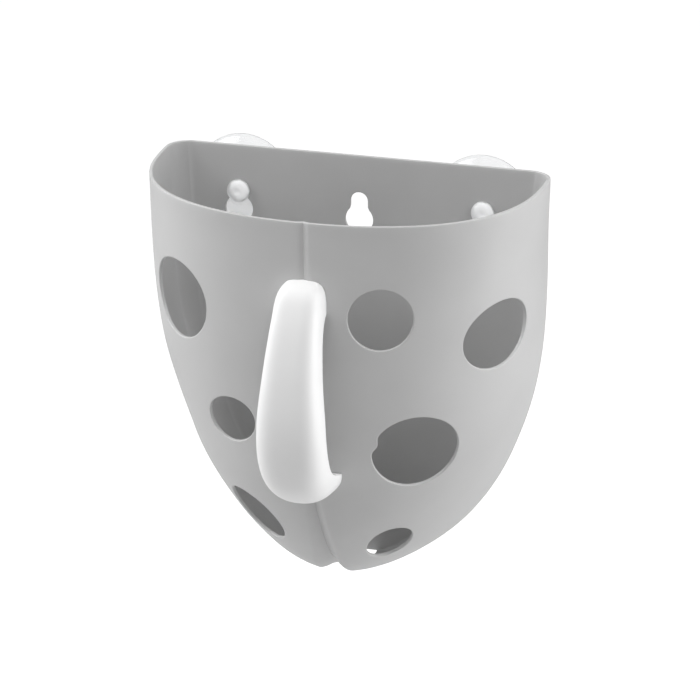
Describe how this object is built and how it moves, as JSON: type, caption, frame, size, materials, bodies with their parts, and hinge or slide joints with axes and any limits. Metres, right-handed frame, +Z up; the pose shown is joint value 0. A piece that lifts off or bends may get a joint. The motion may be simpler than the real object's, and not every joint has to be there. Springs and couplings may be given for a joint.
{
  "type": "bath toy organizer",
  "caption": "Rounded wall basket for bath toys with drain holes, a front grip and a flat back hung on two sliding suction cups.",
  "frame": {"origin": "on the flat rear face of the back wall, midway across and 134 mm above the basket's lowest point", "axes": "+X to the right seen from the front, +Y into the wall that the basket hangs on, +Z up"},
  "size_m": [0.25, 0.1875, 0.2728],
  "materials": {
    "basket_plastic": "satin moulded polypropylene",
    "grip_plastic": "smooth white moulded plastic",
    "clear_pvc": "clear soft PVC"
  },
  "bodies": {
    "basket": {"basket": "basket_plastic", "grip": "grip_plastic"},
    "cup_left": {"suction_cup_left": "clear_pvc"},
    "cup_right": {"suction_cup_right": "clear_pvc"}
  },
  "joints": [
    {"name": "cup_left_slide", "type": "slide", "parent": "basket", "child": "cup_left", "axis": [0, 0, -1], "range_m": [0, 0.0124]},
    {"name": "cup_right_slide", "type": "slide", "parent": "basket", "child": "cup_right", "axis": [0, 0, -1], "range_m": [0, 0.0124]}
  ]
}
